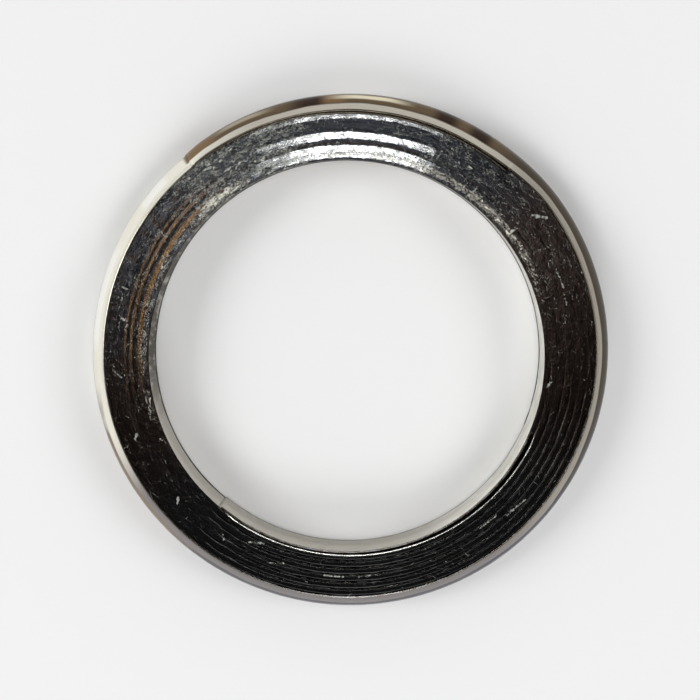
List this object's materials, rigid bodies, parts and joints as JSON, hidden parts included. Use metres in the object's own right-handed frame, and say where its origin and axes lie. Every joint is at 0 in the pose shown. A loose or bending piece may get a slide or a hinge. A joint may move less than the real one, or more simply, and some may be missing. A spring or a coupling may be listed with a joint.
{
  "type": "exhaust gasket",
  "caption": "Flat spiral-wound exhaust pipe gasket: a ring of V-shaped steel strip wound up with a graphite filler, ridge outwards, open round bore.",
  "frame": {"origin": "centre of the bore at the lower sealing face, on which the ring lies", "axes": "+Z along the bore axis, out of the upper sealing face; the strip's free outer end lies 130 degrees counter-clockwise from +X"},
  "size_m": [0.0638, 0.0638, 0.006],
  "materials": {
    "stainless_strip": "bright rolled strip with a straw to brown tint",
    "burnished_graphite": "burnished, scratched and flecked"
  },
  "bodies": {
    "root": {"steel_strip": "stainless_strip", "graphite_filler": "burnished_graphite"}
  },
  "joints": []
}
